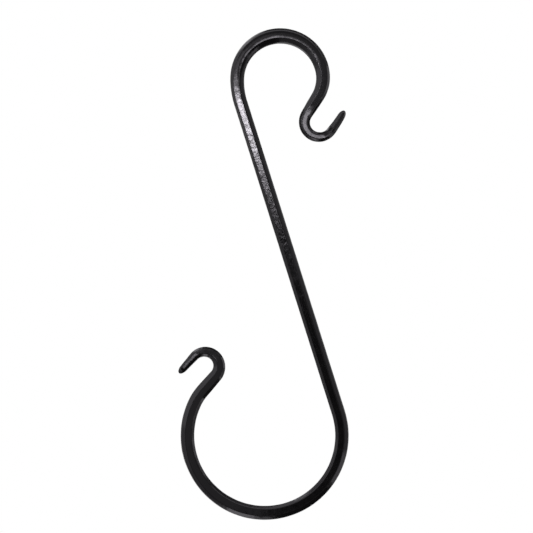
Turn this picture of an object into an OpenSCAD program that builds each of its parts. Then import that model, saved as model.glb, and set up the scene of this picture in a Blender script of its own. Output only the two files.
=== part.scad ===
// S-shaped hook forged from one eight-sided bar, for hanging things from a tree branch.
// A small loop stands above, a large loop below, and a leaning straight shank joins them.
// Each end of the bar is drawn out to a blunt point and curled back, so that nothing slips off.
// The bar is hammered to eight flats with soft edges.
// Bending it into the loops spreads it a little there.
// The hook lies in the XZ plane with Z up.
// The origin is the point inside the crown of the upper loop that bears on the branch.

/* [Bar] */
// Width of the bar across its four wide flats
bar_w = 8; // [6:0.1:10]
// Width of the bar across the four narrow flats at its corners, as a share of its width
corner_share = 1.05; // [1:0.01:1.1]
// Radius of the soft edges between the flats
edge_r = 1.2; // [0.4:0.1:1.5]
// Turn of the flats from the plane of the hook
flats_turn = 8.5; // [0:0.5:20]

/* [Upper loop] */
// Clear width inside the upper loop
upper_loop_d = 44.5; // [38:0.1:60]
// Turn of the upper loop from its crown to its easing bend
upper_loop_turn = 79.5; // [60:0.5:90]
// Radius of the easing bend from the upper loop into the upper neck
upper_bend_r = 22.5; // [18:0.5:40]
// Turn of the easing bend from the upper loop into the upper neck
upper_bend_turn = 42.5; // [30:0.5:50]
// Straight neck between the upper loop and the upper curl
upper_neck = 12.8; // [6:0.1:18]
// Share by which the bar is spread in the plane of the upper loop, and thinned across it, at its middle
upper_spread = 0.11; // [0:0.01:0.2]

/* [Upper curl] */
// Radius of the upper curl at the middle of the bar
upper_curl_r = 9.2; // [8:0.1:12]
// Turn of the upper curl
upper_curl_turn = 174; // [150:1:190]
// Length of the upper tip beyond its curl
upper_tip = 15.4; // [8:0.2:20]
// Slight bend along the upper tip
upper_tip_turn = 9.5; // [0:0.5:15]

/* [Shank] */
// Radius of the easing bend from the upper loop into the shank
shank_bend_r = 46.5; // [35:0.5:70]
// Turn of the easing bend from the upper loop into the shank
shank_bend_turn = 20; // [10:1:40]
// Straight length of the shank
shank_length = 201.5; // [150:0.5:300]
// Lean of the shank from upright
shank_lean = 17.5; // [8:0.5:25]

/* [Lower loop] */
// Clear width inside the lower loop
lower_loop_d = 87.2; // [70:0.1:110]
// Turn of the lower loop from the shank to its easing bend
lower_loop_turn = 222.5; // [200:0.5:230]
// Radius of the easing bend from the lower loop into the lower neck
lower_bend_r = 32; // [20:0.5:45]
// Turn of the easing bend from the lower loop into the lower neck
lower_bend_turn = 16; // [5:1:25]
// Straight neck between the lower loop and the lower curl
lower_neck = 12.5; // [4:0.5:20]
// Share by which the bar is spread in the plane of the lower loop, and thinned across it, at its middle
lower_spread = 0.07; // [0:0.01:0.2]

/* [Lower curl] */
// Radius of the lower curl at the middle of the bar
lower_curl_r = 9; // [8:0.1:12]
// Turn of the lower curl
lower_curl_turn = 179; // [150:1:190]
// Length of the lower tip beyond its curl
lower_tip = 13.9; // [8:0.1:20]

/* [Drawn-out ends] */
// Length of bar over which the upper end is drawn down
upper_taper = 64; // [40:1:90]
// Length of bar over which the lower end is drawn down
lower_taper = 52; // [40:1:90]
// Width across the flats to which the ends are drawn down
tip_w = 4; // [2.5:0.1:5]
// Length of the rounded point at each end
point_length = 4; // [2:0.5:6]

/* [Smoothness] */
// Steps round each soft edge of the bar
edge_steps = 2; // [1:1:3]
// Largest turn of the bar between two sections
bend_step = 6; // [5:1:12]
// Largest length of bar between two sections
length_step = 12; // [8:1:40]
// Sections in the rounded point
point_steps = 5; // [3:1:8]

/* [Hidden] */
flats = 8;
flat_angle = 360 / flats;
bar_sides = flats * (edge_steps + 1);
bar_r = bar_w / 2;
shank_side_turn = 90 + shank_lean - shank_bend_turn;
upper_tip_bend = upper_tip_turn / upper_tip;

// Distance of a flat from the middle of a bar of half width r: every second flat is a narrow one
function flat_reach(k, r) = k % 2 == 0 ? r : r * corner_share;

// How far an edge lies from the middle of the flat before it, if the edge is softened by a radius
function edge_along(k, r, soft) =
    (flat_reach(k + 1, r) - soft - (flat_reach(k, r) - soft) * cos(flat_angle)) / sin(flat_angle);

// Half width of the bar in the plane of the hook
bar_reach = (bar_r - edge_r) * cos(flats_turn) + edge_along(0, bar_r, edge_r) * sin(flats_turn) + edge_r;
upper_loop_r = upper_loop_d / 2 + bar_reach * (1 + upper_spread / 2);
lower_loop_r = lower_loop_d / 2 + bar_reach * (1 + lower_spread / 2);

// A stretch of the bar is its length and its turn, counter-clockwise as seen from the front
function straight(length) = [length, 0];
function bend(radius, turn) = [radius * abs(turn) * PI / 180, turn];

// From the crown to the upper tip, without the rounded point
upper_run = [
    bend(upper_loop_r, -upper_loop_turn),
    bend(upper_bend_r, -upper_bend_turn),
    straight(upper_neck),
    bend(upper_curl_r, upper_curl_turn),
    [upper_tip - point_length, upper_tip_bend * (upper_tip - point_length)]
];
upper_point = [point_length, upper_tip_bend * point_length];

// From the crown down the shank to the lower tip, without the rounded point
lower_run = [
    bend(upper_loop_r, shank_side_turn),
    bend(shank_bend_r, shank_bend_turn),
    straight(shank_length),
    bend(lower_loop_r, -lower_loop_turn),
    bend(lower_bend_r, -lower_bend_turn),
    straight(lower_neck),
    bend(lower_curl_r, lower_curl_turn),
    straight(lower_tip - point_length)
];
lower_point = straight(point_length);

// Where each loop starts and ends, along the bar from the crown: less than zero is towards the upper tip
function length_of(run, first, last) = run[first][0] + (first == last ? 0 : length_of(run, first + 1, last));
upper_loop_start = -length_of(upper_run, 0, 1);
upper_loop_end = length_of(lower_run, 0, 1);
lower_loop_start = length_of(lower_run, 0, 2);
lower_loop_end = length_of(lower_run, 0, 4);

// How much wider the bar is in the plane of the hook: not at all at the ends of a loop, most in its middle
function in_loop(from, to, place) =
    place <= from || place >= to ? 0 : pow(sin(180 * (place - from) / (to - from)), 2);
function spread_at(place) =
    let (
        upper = in_loop(upper_loop_start, upper_loop_end, place),
        lower = in_loop(lower_loop_start, lower_loop_end, place)
    )
    1 + upper_spread * upper + lower_spread * lower;

// A pose is a place along the bar: x, z, heading and the distance from the crown
crown = [0, bar_reach * spread_at(0)];
crown_to_upper_tip = [crown[0], crown[1], 0, 0];
crown_to_lower_tip = [crown[0], crown[1], 180, 0];

// The pose that lies a share of the way along a stretch
function pose_along(pose, stretch, share) =
    let (length = stretch[0] * share, turn = stretch[1] * share, h = pose[2])
    turn == 0
        ? [pose[0] + length * cos(h), pose[1] + length * sin(h), h, pose[3] + length]
        : let (r = length / (turn * PI / 180))
          [
              pose[0] + r * (sin(h + turn) - sin(h)),
              pose[1] - r * (cos(h + turn) - cos(h)),
              h + turn,
              pose[3] + length
          ];

// Sections that a stretch needs to follow its bend
function steps_in(stretch) = max(1, ceil(abs(stretch[1]) / bend_step), ceil(stretch[0] / length_step));

// Every pose along a run of stretches, its start left out
function poses_along(pose, run, i = 0) =
    i == len(run)
        ? []
        : let (steps = steps_in(run[i]))
          concat(
              [for (k = [1:steps]) pose_along(pose, run[i], k / steps)],
              poses_along(pose_along(pose, run[i], 1), run, i + 1)
          );

// Poses of the rounded point, closer together towards its end
function point_poses(pose, point) =
    [for (k = [1:point_steps]) pose_along(pose, point, sin(90 * k / point_steps))];

// One side of the hook, from its crown to the end of its point
function side_poses(start, run, point) =
    let (body = poses_along(start, run))
    concat(body, point_poses(body[len(body) - 1], point));

// Share of the bar's full size at a share of the drawn-out length: even at first, then easing out
function drawn_share(u) = (u + sin(90 * u)) / 2;

// Half the bar's width across its flats at a distance from its end
function radius_at(from_end, taper) =
    let (
        u = min(1, from_end / taper),
        w = 1 - min(1, from_end / point_length),
        drawn = tip_w / 2 + (bar_r - tip_w / 2) * drawn_share(u)
    )
    drawn * sqrt(max(0, 1 - w * w));

// A section is its pose's x, z and heading, with the bar's half width and its spread there
function section(pose, radius, place) = [pose[0], pose[1], pose[2], radius, spread_at(place)];
function sections(poses, taper, side) =
    let (end = poses[len(poses) - 1][3])
    [for (p = poses) section(p, radius_at(end - p[3], taper), side * p[3])];

// The last section of a side has no width: it is the end of the point
function without_last(list) = [for (i = [0:len(list) - 2]) list[i]];
function turned_back(s) = [s[0], s[1], s[2] + 180, s[3], s[4]];
function backwards(list) = [for (i = [len(list) - 1:-1:0]) turned_back(list[i])];

// Outline of the bar's flats and soft edges, about its own middle
function outline(r) =
    let (soft = min(edge_r, r / 2))
    [
        for (k = [0:flats - 1], j = [0:edge_steps])
            let (
                a = k * flat_angle - flats_turn,
                b = a + flat_angle * j / edge_steps,
                near = flat_reach(k, r) - soft,
                along = edge_along(k, r, soft)
            )
            [
                near * cos(a) - along * sin(a) + soft * cos(b),
                near * sin(a) + along * cos(a) + soft * sin(b)
            ]
    ];

function ring(s) =
    let (h = s[2], spread = s[4])
    [
        for (p = outline(s[3]))
            let (out = p[0] * spread)
            [s[0] - out * sin(h), p[1] / spread, s[1] + out * cos(h)]
    ];

// Skin over the sections, closed at both ends on the points' ends
module swept_bar(first_end, rings, last_end) {
    count = len(rings);
    last_ring = (count - 1) * bar_sides;
    first = count * bar_sides;
    last = first + 1;
    walls = [
        for (i = [0:count - 2], k = [0:bar_sides - 1])
            let (a = i * bar_sides + k, b = i * bar_sides + (k + 1) % bar_sides)
            [a, b, b + bar_sides, a + bar_sides]
    ];
    first_cap = [for (k = [0:bar_sides - 1]) [first, (k + 1) % bar_sides, k]];
    last_cap = [for (k = [0:bar_sides - 1]) [last, last_ring + k, last_ring + (k + 1) % bar_sides]];
    polyhedron(
        points = concat([for (r = rings) each r], [first_end, last_end]),
        faces = concat(walls, first_cap, last_cap),
        convexity = 6
    );
}

module hook() {
    upper = sections(side_poses(crown_to_upper_tip, upper_run, upper_point), upper_taper, -1);
    lower = sections(side_poses(crown_to_lower_tip, lower_run, lower_point), lower_taper, 1);
    crown_section = section(crown_to_lower_tip, bar_r, 0);
    bar = concat(backwards(without_last(upper)), [crown_section], without_last(lower));
    upper_end = upper[len(upper) - 1];
    lower_end = lower[len(lower) - 1];
    color([0.09, 0.09, 0.1])
        swept_bar(
            [upper_end[0], 0, upper_end[1]],
            [for (s = bar) ring(s)],
            [lower_end[0], 0, lower_end[1]]
        );
}

hook();
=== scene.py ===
"""Looks of the tree branch hook: its forged bar, its black finish, the stage, the lights and the camera."""
from collections import namedtuple
from math import ceil, cos, pi, radians, sin, sqrt, tan

import bmesh
import bpy
from mathutils import Matrix, Vector, noise


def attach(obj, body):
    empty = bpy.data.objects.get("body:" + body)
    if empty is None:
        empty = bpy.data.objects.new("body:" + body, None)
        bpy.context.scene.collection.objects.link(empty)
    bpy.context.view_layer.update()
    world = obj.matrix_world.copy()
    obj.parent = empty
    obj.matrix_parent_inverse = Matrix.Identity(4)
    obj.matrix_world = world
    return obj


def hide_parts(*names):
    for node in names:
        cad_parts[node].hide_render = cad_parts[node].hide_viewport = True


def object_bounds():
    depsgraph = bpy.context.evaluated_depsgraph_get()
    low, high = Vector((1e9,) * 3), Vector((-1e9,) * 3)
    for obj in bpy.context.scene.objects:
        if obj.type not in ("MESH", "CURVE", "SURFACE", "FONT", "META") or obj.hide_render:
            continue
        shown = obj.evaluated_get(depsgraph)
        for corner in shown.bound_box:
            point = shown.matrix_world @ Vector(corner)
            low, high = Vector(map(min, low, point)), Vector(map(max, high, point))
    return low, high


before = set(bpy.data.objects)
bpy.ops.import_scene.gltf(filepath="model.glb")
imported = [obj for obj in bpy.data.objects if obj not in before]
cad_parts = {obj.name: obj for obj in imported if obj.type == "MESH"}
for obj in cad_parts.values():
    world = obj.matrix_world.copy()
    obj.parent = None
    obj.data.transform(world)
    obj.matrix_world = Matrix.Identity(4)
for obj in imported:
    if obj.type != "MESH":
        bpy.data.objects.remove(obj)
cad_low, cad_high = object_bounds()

MM = 0.001
QUARTER_TURN = 90.0
HALF_TURN = 180.0

# The bar and its bends, in millimetres and degrees, as the solid has them
BAR_W = 8.0
CORNER_SHARE = 1.05
EDGE_R = 1.2
FLATS_TURN = 8.5
UPPER_LOOP_D = 44.5
UPPER_LOOP_TURN = 79.5
UPPER_BEND_R = 22.5
UPPER_BEND_TURN = 42.5
UPPER_NECK = 12.8
UPPER_SPREAD = 0.11
UPPER_CURL_R = 9.2
UPPER_CURL_TURN = 174.0
UPPER_TIP = 15.4
UPPER_TIP_TURN = 9.5
SHANK_BEND_R = 46.5
SHANK_BEND_TURN = 20.0
SHANK_LENGTH = 201.5
SHANK_LEAN = 17.5
LOWER_LOOP_D = 87.2
LOWER_LOOP_TURN = 222.5
LOWER_BEND_R = 32.0
LOWER_BEND_TURN = 16.0
LOWER_NECK = 12.5
LOWER_SPREAD = 0.07
LOWER_CURL_R = 9.0
LOWER_CURL_TURN = 179.0
LOWER_TIP = 13.9
UPPER_TAPER = 64.0
LOWER_TAPER = 52.0
TIP_W = 4.0
POINT_LENGTH = 4.0

# The flats of the upper end were turned under the hammer: each turn in degrees, and the distances
# from the tip, in millimetres, at which it begins and ends
CURL_TURN = -8.0
CURL_TURN_REACH = (52.0, 42.0)
TIP_TURN = 35.0
TIP_TURN_REACH = (21.0, 9.0)

# The looks have crisper edges than the solid
CRISP_EDGE_R = 0.65

# Fineness of the modelled bar: steps in millimetres and degrees, and counts
SECTION_STEP = 0.6
TURN_STEP = 3.0
POINT_STEPS = 8
EDGE_SEGMENTS = 3
FLAT_CUTS = 3
FLATS_WEIGHT = 90

# What the hammer left, in millimetres: waves and pits all over, and dents on the drawn-out ends
WAVE_SIZE = 8.0
WAVE_DEPTH = 0.035
PIT_SIZE = 2.4
PIT_DEPTH = 0.03
DENT_SIZE = 3.2
DENT_DEPTH = 0.05
DENT_REACH = 70.0

# Radius of the belly across each flat: hardly a belly outside the upper loop, and soon a full one in it
SHANK_BELLY_R = 200.0
LOOP_BELLY_R = 7.5
LOOP_BELLY_REACH = 2.0

# Worked out from the sizes above: half widths, where an edge lies on its flat, and the loops' middle lines
BAR_R = BAR_W / 2
TIP_R = TIP_W / 2
CORNER_R = BAR_R * CORNER_SHARE
FLAT_ANGLE = radians(QUARTER_TURN / 2)
EDGE_ALONG = (CORNER_R - EDGE_R - (BAR_R - EDGE_R) * cos(FLAT_ANGLE)) / sin(FLAT_ANGLE)
BAR_REACH = (BAR_R - EDGE_R) * cos(radians(FLATS_TURN)) + EDGE_ALONG * sin(radians(FLATS_TURN)) + EDGE_R
UPPER_LOOP_R = UPPER_LOOP_D / 2 + BAR_REACH * (1 + UPPER_SPREAD / 2)
LOWER_LOOP_R = LOWER_LOOP_D / 2 + BAR_REACH * (1 + LOWER_SPREAD / 2)

# A stretch of bar turns counter-clockwise, seen from the front, where its turn is above zero
Stretch = namedtuple("Stretch", "length turn")

# A place on the bar's middle line, the way it heads there and its distance from the crown
Pose = namedtuple("Pose", "x z heading distance")


def straight(length):
    """A stretch of bar that isn't bent."""
    return Stretch(length, 0.0)


def bend(radius, turn):
    """A stretch of bar that is bent to an arc."""
    return Stretch(radius * radians(abs(turn)), turn)


# The stretches from the crown to each tip, and the rounded point beyond them
UPPER_RUN = (
    bend(UPPER_LOOP_R, -UPPER_LOOP_TURN),
    bend(UPPER_BEND_R, -UPPER_BEND_TURN),
    straight(UPPER_NECK),
    bend(UPPER_CURL_R, UPPER_CURL_TURN),
    Stretch(UPPER_TIP - POINT_LENGTH, UPPER_TIP_TURN * (1 - POINT_LENGTH / UPPER_TIP)),
)
UPPER_POINT = Stretch(POINT_LENGTH, UPPER_TIP_TURN * POINT_LENGTH / UPPER_TIP)
LOWER_RUN = (
    bend(UPPER_LOOP_R, QUARTER_TURN + SHANK_LEAN - SHANK_BEND_TURN),
    bend(SHANK_BEND_R, SHANK_BEND_TURN),
    straight(SHANK_LENGTH),
    bend(LOWER_LOOP_R, -LOWER_LOOP_TURN),
    bend(LOWER_BEND_R, -LOWER_BEND_TURN),
    straight(LOWER_NECK),
    bend(LOWER_CURL_R, LOWER_CURL_TURN),
    straight(LOWER_TIP - POINT_LENGTH),
)
LOWER_POINT = straight(POINT_LENGTH)

# Places along the bar are below zero on the upper side of the crown, and above zero on the lower side
UPPER_SIDE = -1
LOWER_SIDE = 1


def length_of(stretches):
    """Length of bar in some stretches."""
    return sum(stretch.length for stretch in stretches)


# Where each loop starts and ends along the bar
UPPER_LOOP = (UPPER_SIDE * length_of(UPPER_RUN[:2]), LOWER_SIDE * length_of(LOWER_RUN[:2]))
LOWER_LOOP = (LOWER_SIDE * length_of(LOWER_RUN[:3]), LOWER_SIDE * length_of(LOWER_RUN[:5]))


def in_loop(loop, place):
    """What bending does to the bar: nothing at the ends of a loop, most in its middle."""
    start, end = loop
    return sin(pi * (place - start) / (end - start)) ** 2 if start < place < end else 0.0


def spread_at(place):
    """How much wider the bar is in the plane of the hook."""
    return 1 + UPPER_SPREAD * in_loop(UPPER_LOOP, place) + LOWER_SPREAD * in_loop(LOWER_LOOP, place)


def radius_at(from_end, taper):
    """Half the bar's width across its flats, at a distance from its end."""
    drawn = min(1.0, from_end / taper)
    point = 1 - min(1.0, from_end / POINT_LENGTH)
    share = (drawn + sin(pi / 2 * drawn)) / 2
    return (TIP_R + (BAR_R - TIP_R) * share) * sqrt(max(0.0, 1 - point * point))


def pose_along(pose, stretch, share):
    """The pose that lies a share of the way along a stretch."""
    length = stretch.length * share
    turn = stretch.turn * share
    start = radians(pose.heading)
    end = radians(pose.heading + turn)
    if turn == 0:
        x = pose.x + length * cos(start)
        z = pose.z + length * sin(start)
    else:
        r = length / radians(turn)
        x = pose.x + r * (sin(end) - sin(start))
        z = pose.z - r * (cos(end) - cos(start))
    return Pose(x, z, pose.heading + turn, pose.distance + length)


def poses_of(start, run, point):
    """Every pose along one side of the hook, and the end of its rounded point."""
    poses = []
    pose = start
    for stretch in run:
        steps = ceil(max(stretch.length / SECTION_STEP, abs(stretch.turn) / TURN_STEP))
        poses += [pose_along(pose, stretch, k / steps) for k in range(1, steps + 1)]
        pose = poses[-1]
    poses += [pose_along(pose, point, sin(pi / 2 * k / POINT_STEPS)) for k in range(1, POINT_STEPS)]
    return poses, pose_along(pose, point, 1)


def placing(pose, heading_turn, radius, place, turn=0.0):
    """Matrix that puts the bar's full section, drawn at the origin, at a place along the bar."""
    size = radius / BAR_R
    spread = spread_at(place)
    moved = Matrix.Translation(Vector((pose.x, 0, pose.z)) * MM)
    headed = Matrix.Rotation(-radians(pose.heading + heading_turn), 4, "Y")
    sized = Matrix.Diagonal((1.0, size / spread, size * spread, 1.0))
    turned = Matrix.Rotation(radians(turn), 4, "X")
    return moved @ headed @ sized @ turned


def bar_section(bm):
    """Ring, square to X, of a square bar with corners hammered to narrow flats and soft edges."""
    upright = Matrix.Rotation(radians(QUARTER_TURN), 4, "Y")
    turned = Matrix.Rotation(FLAT_ANGLE + radians(FLATS_TURN), 4, "X")
    square = bmesh.ops.create_circle(
        bm, cap_ends=True, radius=sqrt(2) * BAR_R * MM, segments=4, matrix=turned @ upright
    )
    bmesh.ops.bevel(
        bm, geom=square["verts"], offset=(2 * BAR_R - sqrt(2) * CORNER_R) * MM, offset_type="OFFSET",
        affect="VERTICES", segments=1, profile=0.5, material=-1,
    )
    bmesh.ops.bevel(
        bm, geom=bm.verts[:], offset=CRISP_EDGE_R * MM * tan(FLAT_ANGLE / 2), offset_type="OFFSET",
        affect="VERTICES", segments=EDGE_SEGMENTS, profile=0.5, material=-1,
    )
    bmesh.ops.delete(bm, geom=bm.faces[:], context="FACES_ONLY")
    for flat in [e for e in bm.edges if e.calc_length() > CRISP_EDGE_R * MM]:
        cut_flat(bm, flat)
    return bm.edges[:]


def cut_flat(bm, flat):
    """Cut one flat of the section lengthwise, and note at each cut how much a belly would raise it."""
    belly = bm.verts.layers.float["belly"]
    half = flat.calc_length() / 2
    middle = (flat.verts[0].co + flat.verts[1].co) / 2
    cuts = bmesh.ops.subdivide_edges(bm, edges=[flat], cuts=FLAT_CUTS)["geom_inner"]
    for v in [g for g in cuts if isinstance(g, bmesh.types.BMVert)]:
        v[belly] = (half ** 2 - (v.co - middle).length_squared) / 2


def past(reach, from_end):
    """0 before a reach begins, 1 after it has ended, and smooth between."""
    begin, end = reach
    share = min(1.0, max(0.0, (begin - from_end) / (begin - end)))
    return share * share * (3 - 2 * share)


def end_turn(from_end):
    """How far the flats of the upper end are turned, in degrees, at a distance from its tip."""
    return CURL_TURN * past(CURL_TURN_REACH, from_end) + TIP_TURN * past(TIP_TURN_REACH, from_end)


def extrude_ring(bm, ring):
    """New ring of edges, grown from a ring, and its vertices."""
    grown = bmesh.ops.extrude_edge_only(bm, edges=ring)["geom"]
    verts = [g for g in grown if isinstance(g, bmesh.types.BMVert)]
    new = set(verts)
    edges = [g for g in grown if isinstance(g, bmesh.types.BMEdge) and new.issuperset(g.verts)]
    return edges, verts


def sweep(bm, ring, start, run, point, taper, side):
    """Draw the bar out from the crown to one of its tips, and close it in a rounded point."""
    along = bm.verts.layers.float["along"]
    from_end = bm.verts.layers.float["from_end"]
    heading_turn = HALF_TURN if side == UPPER_SIDE else 0.0
    last = placing(start, heading_turn, BAR_R, 0)
    poses, tip = poses_of(start, run, point)
    for pose in poses:
        left = tip.distance - pose.distance
        turn = end_turn(left) if side == UPPER_SIDE else 0.0
        here = placing(pose, heading_turn, radius_at(left, taper), side * pose.distance, turn)
        ring, verts = extrude_ring(bm, ring)
        bmesh.ops.transform(bm, matrix=here @ last.inverted(), verts=verts)
        for v in verts:
            v[along] = side * pose.distance * MM
            v[from_end] = left * MM
        last = here
    ring, verts = extrude_ring(bm, ring)
    bmesh.ops.pointmerge(bm, verts=verts, merge_co=Vector((tip.x, 0, tip.z)) * MM)


def hammer(bm):
    """Leave the flats as uneven as a hammer leaves them, most of all on the drawn-out ends."""
    along = bm.verts.layers.float["along"]
    from_end = bm.verts.layers.float["from_end"]
    belly = bm.verts.layers.float["belly"]
    bm.normal_update()
    moves = []
    for v in bm.verts:
        near_end = 1 - min(1.0, v[from_end] / (DENT_REACH * MM))
        wave = WAVE_DEPTH * noise.noise(v.co / (WAVE_SIZE * MM))
        pit = PIT_DEPTH * noise.noise(v.co / (PIT_SIZE * MM))
        dent = DENT_DEPTH * near_end * noise.noise(v.co / (DENT_SIZE * MM))
        bent = min(1.0, LOOP_BELLY_REACH * in_loop(UPPER_LOOP, v[along] / MM))
        curve = (1 - bent) / SHANK_BELLY_R + bent / LOOP_BELLY_R
        moves.append(v.normal * ((wave + pit + dent) * MM + v[belly] * curve / MM))
    for v, move in zip(bm.verts, moves):
        v.co += move


def make_hook():
    """The hook's bar, swept both ways from the crown."""
    bm = bmesh.new()
    for name in ("along", "from_end", "belly"):
        bm.verts.layers.float.new(name)
    ring = bar_section(bm)
    from_end = bm.verts.layers.float["from_end"]
    for v in bm.verts:
        v[from_end] = DENT_REACH * MM
    crown_z = BAR_REACH * spread_at(0)
    to_upper_tip = Pose(0.0, crown_z, 0.0, 0.0)
    to_lower_tip = Pose(0.0, crown_z, HALF_TURN, 0.0)
    bmesh.ops.transform(bm, matrix=placing(to_lower_tip, 0.0, BAR_R, 0), verts=bm.verts[:])
    sweep(bm, ring, to_upper_tip, UPPER_RUN, UPPER_POINT, UPPER_TAPER, UPPER_SIDE)
    sweep(bm, ring, to_lower_tip, LOWER_RUN, LOWER_POINT, LOWER_TAPER, LOWER_SIDE)
    bmesh.ops.recalc_face_normals(bm, faces=bm.faces[:])
    hammer(bm)
    for face in bm.faces:
        face.smooth = True
    piece = add_piece("forged_hook", bm)
    even = piece.modifiers.new("even_flats", "WEIGHTED_NORMAL")
    even.weight = FLATS_WEIGHT
    return piece


def add_piece(name, bm):
    """Object made of a finished bmesh, at the origin."""
    mesh = bpy.data.meshes.new(name)
    bm.to_mesh(mesh)
    bm.free()
    piece = bpy.data.objects.new(name, mesh)
    bpy.context.scene.collection.objects.link(piece)
    return piece


# The black finish: its two blacks in patches, its gloss, and the grain in it; sizes in millimetres
BLACK_DEEP = (0.0026, 0.0024, 0.0027, 1)
BLACK_WORN = (0.0070, 0.0062, 0.0066, 1)
PATCH_SIZE = 7.0
PATCH_DETAIL = 5
PATCH_ROUGHNESS = 0.6
PATCH_RANGE = (0.35, 0.7)
FINISH_GLOSS_LEVEL = 0.5
FINISH_GLOSS_TINT = (1.0, 0.96, 1.04, 1)
ROUGH_SLEEK = 0.10
ROUGH_DULL = 0.18
GRAIN_SIZE = 1.3
GRAIN_DETAIL = 3
GRAIN_RANGE = (0.3, 0.7)
GRAIN_DEPTH = 0.028
SPECK_SIZE = 0.55
SPECK_DETAIL = 2
SPECK_DEPTH = 0.010
NONE_TO_ALL = (0.0, 1.0)


def new_material(name):
    """Empty node material, with its nodes, its links and its output."""
    material = bpy.data.materials.new(name)
    material.use_nodes = True
    nodes = material.node_tree.nodes
    nodes.clear()
    return material, nodes, material.node_tree.links, nodes.new("ShaderNodeOutputMaterial")


def noise_pattern(nodes, links, where, size, detail, roughness=0.5):
    """Soft random pattern whose patches are about size millimetres across."""
    pattern = nodes.new("ShaderNodeTexNoise")
    pattern.inputs["Scale"].default_value = 1 / (size * MM)
    pattern.inputs["Detail"].default_value = detail
    pattern.inputs["Roughness"].default_value = roughness
    links.new(where, pattern.inputs["Vector"])
    return pattern.outputs["Fac"]


def spread_of(nodes, links, value, old_range, new_range):
    """A value that runs over one range, spread over another."""
    spread = nodes.new("ShaderNodeMapRange")
    for name, number in zip(("From Min", "From Max", "To Min", "To Max"), old_range + new_range):
        spread.inputs[name].default_value = number
    links.new(value, spread.inputs["Value"])
    return spread.outputs["Result"]


def bumps(nodes, links, height, depth, under=None):
    """Raised pattern of a depth in millimetres, on top of another one."""
    bump = nodes.new("ShaderNodeBump")
    bump.inputs["Distance"].default_value = depth * MM
    links.new(height, bump.inputs["Height"])
    if under:
        links.new(under, bump.inputs["Normal"])
    return bump.outputs["Normal"]


def black_finish():
    """Satin black over hammered steel: two blacks in patches, uneven gloss and a fine grain."""
    material, nodes, links, output = new_material("black_finish")
    where = nodes.new("ShaderNodeTexCoord").outputs["Object"]
    coat = nodes.new("ShaderNodeBsdfPrincipled")
    coat.inputs["Specular IOR Level"].default_value = FINISH_GLOSS_LEVEL
    coat.inputs["Specular Tint"].default_value = FINISH_GLOSS_TINT

    patches = noise_pattern(nodes, links, where, PATCH_SIZE, PATCH_DETAIL, PATCH_ROUGHNESS)
    blacks = nodes.new("ShaderNodeMix")
    blacks.data_type = "RGBA"
    blacks.inputs["A"].default_value = BLACK_DEEP
    blacks.inputs["B"].default_value = BLACK_WORN
    links.new(spread_of(nodes, links, patches, PATCH_RANGE, NONE_TO_ALL), blacks.inputs["Factor"])
    links.new(blacks.outputs["Result"], coat.inputs["Base Color"])

    grain = noise_pattern(nodes, links, where, GRAIN_SIZE, GRAIN_DETAIL)
    specks = noise_pattern(nodes, links, where, SPECK_SIZE, SPECK_DETAIL)
    rough = spread_of(nodes, links, grain, GRAIN_RANGE, (ROUGH_SLEEK, ROUGH_DULL))
    links.new(rough, coat.inputs["Roughness"])
    grained = bumps(nodes, links, grain, GRAIN_DEPTH)
    links.new(bumps(nodes, links, specks, SPECK_DEPTH, grained), coat.inputs["Normal"])
    links.new(coat.outputs["BSDF"], output.inputs["Surface"])
    return material


# The stage, in metres: a white surround, a pale floor far below, and ways for a sheet to face
WHITE = (1, 1, 1, 1)
SURROUND_LIGHT = 0.35
SURROUND_SEEN = 1.0
FLOOR_Z = -0.9
FLOOR_SIDE = 3.0
FLOOR_PALE = (0.8, 0.8, 0.8, 1)
FLOOR_GLOW = 0.66
TO_FRONT = (0, -1, 0)
TO_BACK = (0, 1, 0)
TO_LEFT = (-1, 0, 0)
TO_RIGHT = (1, 0, 0)
UP = (0, 0, 1)
DOWN = (0, 0, -1)


def seen_as_background(nodes, links):
    """1 for the rays that show the background: from the camera, and by way of gloss or glass."""
    path = nodes.new("ShaderNodeLightPath")
    seen = path.outputs["Is Camera Ray"]
    for name in ("Is Glossy Ray", "Is Transmission Ray"):
        either = nodes.new("ShaderNodeMath")
        either.operation = "MAXIMUM"
        links.new(seen, either.inputs[0])
        links.new(path.outputs[name], either.inputs[1])
        seen = either.outputs["Value"]
    return seen


def light_surround():
    """White surround to look at, which lights the object softly from all sides."""
    world = bpy.data.worlds.new("white_surround")
    bpy.context.scene.world = world
    world.use_nodes = True
    nodes = world.node_tree.nodes
    links = world.node_tree.links
    nodes.clear()
    background = nodes.new("ShaderNodeBackground")
    background.inputs["Color"].default_value = WHITE
    seen = seen_as_background(nodes, links)
    strength = spread_of(nodes, links, seen, NONE_TO_ALL, (SURROUND_LIGHT, SURROUND_SEEN))
    links.new(strength, background.inputs["Strength"])
    output = nodes.new("ShaderNodeOutputWorld")
    links.new(background.outputs["Background"], output.inputs["Surface"])


def flat_sheet(name, size, place, facing):
    """Flat rectangle about a place, square to the way it faces."""
    width, length = size
    bm = bmesh.new()
    turned = Vector(facing).to_track_quat("Z", "Y").to_matrix().to_4x4()
    sized = Matrix.Diagonal((width / 2, length / 2, 1, 1))
    bmesh.ops.create_grid(
        bm, x_segments=1, y_segments=1, size=1, matrix=Matrix.Translation(place) @ turned @ sized
    )
    sheet = add_piece(name, bm)
    return sheet


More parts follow.
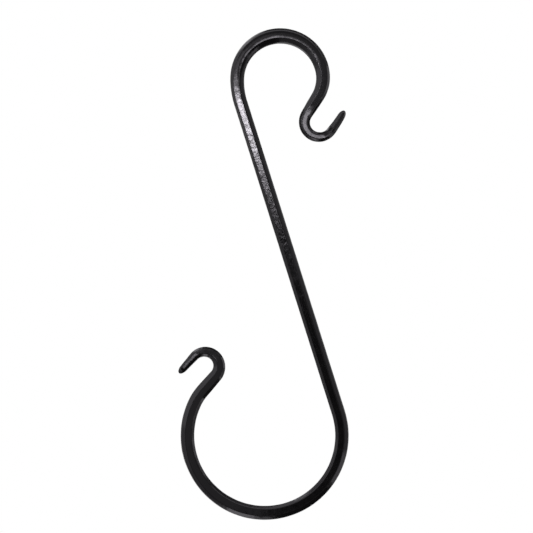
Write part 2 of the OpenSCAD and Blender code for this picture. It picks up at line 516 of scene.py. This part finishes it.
def pale_floor():
    """Floor that looks about as white as the surround, and keeps the shadow of the hook."""
    material, nodes, links, output = new_material("pale_floor")
    matt = nodes.new("ShaderNodeBsdfDiffuse")
    matt.inputs["Color"].default_value = FLOOR_PALE
    glow = nodes.new("ShaderNodeEmission")
    seen = seen_as_background(nodes, links)
    links.new(spread_of(nodes, links, seen, NONE_TO_ALL, (0.0, FLOOR_GLOW)), glow.inputs["Strength"])
    both = nodes.new("ShaderNodeAddShader")
    links.new(matt.outputs["BSDF"], both.inputs[0])
    links.new(glow.outputs["Emission"], both.inputs[1])
    links.new(both.outputs["Shader"], output.inputs["Surface"])
    floor = flat_sheet("floor", (FLOOR_SIDE, FLOOR_SIDE), (0, 0, FLOOR_Z), UP)
    floor.data.materials.append(material)


def gloss_card(name, size, place, facing, glow):
    """Card that shows only in the gloss of the bar: a glow of 1 is as bright as the white surround."""
    material, nodes, links, output = new_material(name)
    face = nodes.new("ShaderNodeEmission")
    face.inputs["Strength"].default_value = glow
    links.new(face.outputs["Emission"], output.inputs["Surface"])
    card = flat_sheet(name, size, place, facing)
    card.data.materials.append(material)
    card.visible_camera = False
    card.visible_diffuse = False
    card.visible_shadow = False
    card.visible_transmission = False
    card.visible_volume_scatter = False


def cards_in_front():
    """Grey cards that darken what the front flats show, and two lighter ones at the top."""
    gloss_card("card_front", size=(3.0, 2.8), place=(0.3, -1.7, 0.1), facing=TO_BACK, glow=0.34)
    gloss_card("card_front_high", size=(2.4, 1.2), place=(0.2, -1.25, 1.3), facing=TO_BACK, glow=0.2)
    gloss_card("card_round_camera", size=(1.19, 1.4), place=(-0.607, -1.65, -0.62), facing=TO_BACK, glow=0.06)
    gloss_card("card_upper_left", size=(0.45, 0.4), place=(-0.525, -1.3, 0.35), facing=TO_BACK, glow=1.2)
    gloss_card("card_upper_middle", size=(0.3, 0.38), place=(-0.15, -1.3, 0.49), facing=TO_BACK, glow=0.6)


def cards_beside():
    """Cards at the right and the left, for the sides of the bar."""
    gloss_card("card_right", size=(0.7, 1.37), place=(1.2, -0.15, 0.065), facing=TO_LEFT, glow=0.45)
    gloss_card("card_right_front", size=(1.1, 1.37), place=(1.2, -1.05, 0.065), facing=TO_LEFT, glow=0.08)
    gloss_card("card_left_low", size=(1.2, 0.9), place=(-1.1, -0.4, -0.67), facing=TO_RIGHT, glow=0.55)
    gloss_card("card_left_behind", size=(1.0, 0.8), place=(-0.9, 0.6, -0.68), facing=TO_RIGHT, glow=0.4)
    gloss_card("card_left_high_behind", size=(1.2, 1.4), place=(-1.1, 0.6, 0.42), facing=TO_RIGHT, glow=0.65)
    gloss_card("card_right_behind", size=(0.9, 0.7), place=(0.9, 0.45, 0.65), facing=TO_LEFT, glow=0.3)
    gloss_card("card_right_low_behind", size=(0.94, 0.6), place=(0.9, 0.62, -0.6), facing=TO_LEFT, glow=0.4)


def cards_behind():
    """Dark cards behind the hook, for the rims of the bar."""
    gloss_card("card_behind", size=(1.8, 1.01), place=(0, 0.9, 0.105), facing=TO_FRONT, glow=0.12)
    gloss_card("card_behind_low", size=(0.9, 0.5), place=(0.55, 0.9, -0.65), facing=TO_FRONT, glow=0.1)


def cards_above_and_below():
    """Cards over and under the hook, and a small bright one that shows in the lower loop."""
    gloss_card("card_above", size=(1.25, 1.08), place=(0.325, 0.66, 1.0), facing=DOWN, glow=0.12)
    gloss_card("card_below", size=(0.68, 2.5), place=(0.38, -0.35, -0.85), facing=UP, glow=0.05)
    gloss_card("card_below_right", size=(0.68, 0.85), place=(1.06, -1.175, -0.85), facing=UP, glow=0.02)
    gloss_card("card_below_front", size=(0.64, 1.42), place=(-0.28, -0.89, -0.85), facing=UP, glow=0.25)
    gloss_card("card_below_behind", size=(0.94, 0.92), place=(-0.43, 0.46, -0.85), facing=UP, glow=0.5)
    gloss_card("card_below_left", size=(0.6, 2.5), place=(-0.9, -0.35, -0.86), facing=UP, glow=0.4)
    gloss_card("card_low_left", size=(0.22, 0.2), place=(-0.18, -0.175, -0.84), facing=UP, glow=2.2)


# The lights: where they are aimed, in metres, and the watts of a square metre that looks white
CROWN_AIM = (0.02, 0, 0.03)
UPPER_SHANK_AIM = (-0.02, 0, -0.04)
WATTS_OF_WHITE = 4.0


def soft_light(name, size, place, aim, brightness, beam=None):
    """Soft light box, out of the camera's sight: brightness 1 looks white, and a grid narrows its beam."""
    width, height = size
    lamp = bpy.data.lights.new(name, "AREA")
    lamp.shape = "RECTANGLE"
    lamp.size = width
    lamp.size_y = height
    lamp.energy = WATTS_OF_WHITE * width * height * brightness
    if beam:
        half = radians(beam) / 2
        lamp.spread = radians(beam)
        # A narrow beam gathers the light, so fewer watts keep its middle as bright
        lamp.energy *= (tan(half) - half) / tan(half)
    light = bpy.data.objects.new(name, lamp)
    bpy.context.scene.collection.objects.link(light)
    way = (Vector(aim) - Vector(place)).to_track_quat("-Z", "Y").to_matrix().to_4x4()
    light.matrix_world = Matrix.Translation(place) @ way
    light.visible_camera = False


def studio_lights():
    """Three light boxes with grids in front, aimed at the upper half, and a large plain one behind."""
    soft_light(
        "key_beside", size=(0.28, 0.26), place=(-0.36, -1.0, -0.01), aim=UPPER_SHANK_AIM,
        brightness=5.6, beam=17,
    )
    soft_light(
        "key_core", size=(0.14, 0.06), place=(-0.325, -1.0, -0.042), aim=UPPER_SHANK_AIM,
        brightness=32.0, beam=16,
    )
    soft_light(
        "key_above", size=(0.32, 0.26), place=(0.07, -1.0, 0.05), aim=CROWN_AIM,
        brightness=7.0, beam=18,
    )
    middle = (cad_low + cad_high) / 2
    soft_light("fill", size=(1.0, 1.0), place=(-1.0, 0.5, 0.9), aim=middle, brightness=1.0)


# The camera: the photograph's side, origin and focal length in pixels, its scale in the plane of the hook
# and the sensor's width in millimetres
PHOTO_SIDE = 533
PHOTO_MM_PER_PX = 0.6207
ORIGIN_PX = (280.24, 43.44)
FOCAL_PX = 1800
SENSOR_W = 36.0


def photo_camera():
    """Camera straight in front of the hook, with the photograph's framing."""
    lens = bpy.data.cameras.new("camera")
    lens.sensor_width = SENSOR_W
    lens.lens = SENSOR_W * FOCAL_PX / PHOTO_SIDE
    camera = bpy.data.objects.new("camera", lens)
    bpy.context.scene.collection.objects.link(camera)
    right = PHOTO_SIDE / 2 - ORIGIN_PX[0]
    down = PHOTO_SIDE / 2 - ORIGIN_PX[1]
    place = Vector((right, -FOCAL_PX, -down)) * PHOTO_MM_PER_PX * MM
    camera.matrix_world = Matrix.Translation(place) @ Matrix.Rotation(radians(QUARTER_TURN), 4, "X")
    bpy.context.scene.camera = camera


bpy.context.scene.view_settings.view_transform = "Standard"
hook = make_hook()
hook.data.materials.append(black_finish())
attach(hook, "root")
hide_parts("hook")
light_surround()
pale_floor()
cards_in_front()
cards_beside()
cards_behind()
cards_above_and_below()
studio_lights()
photo_camera()
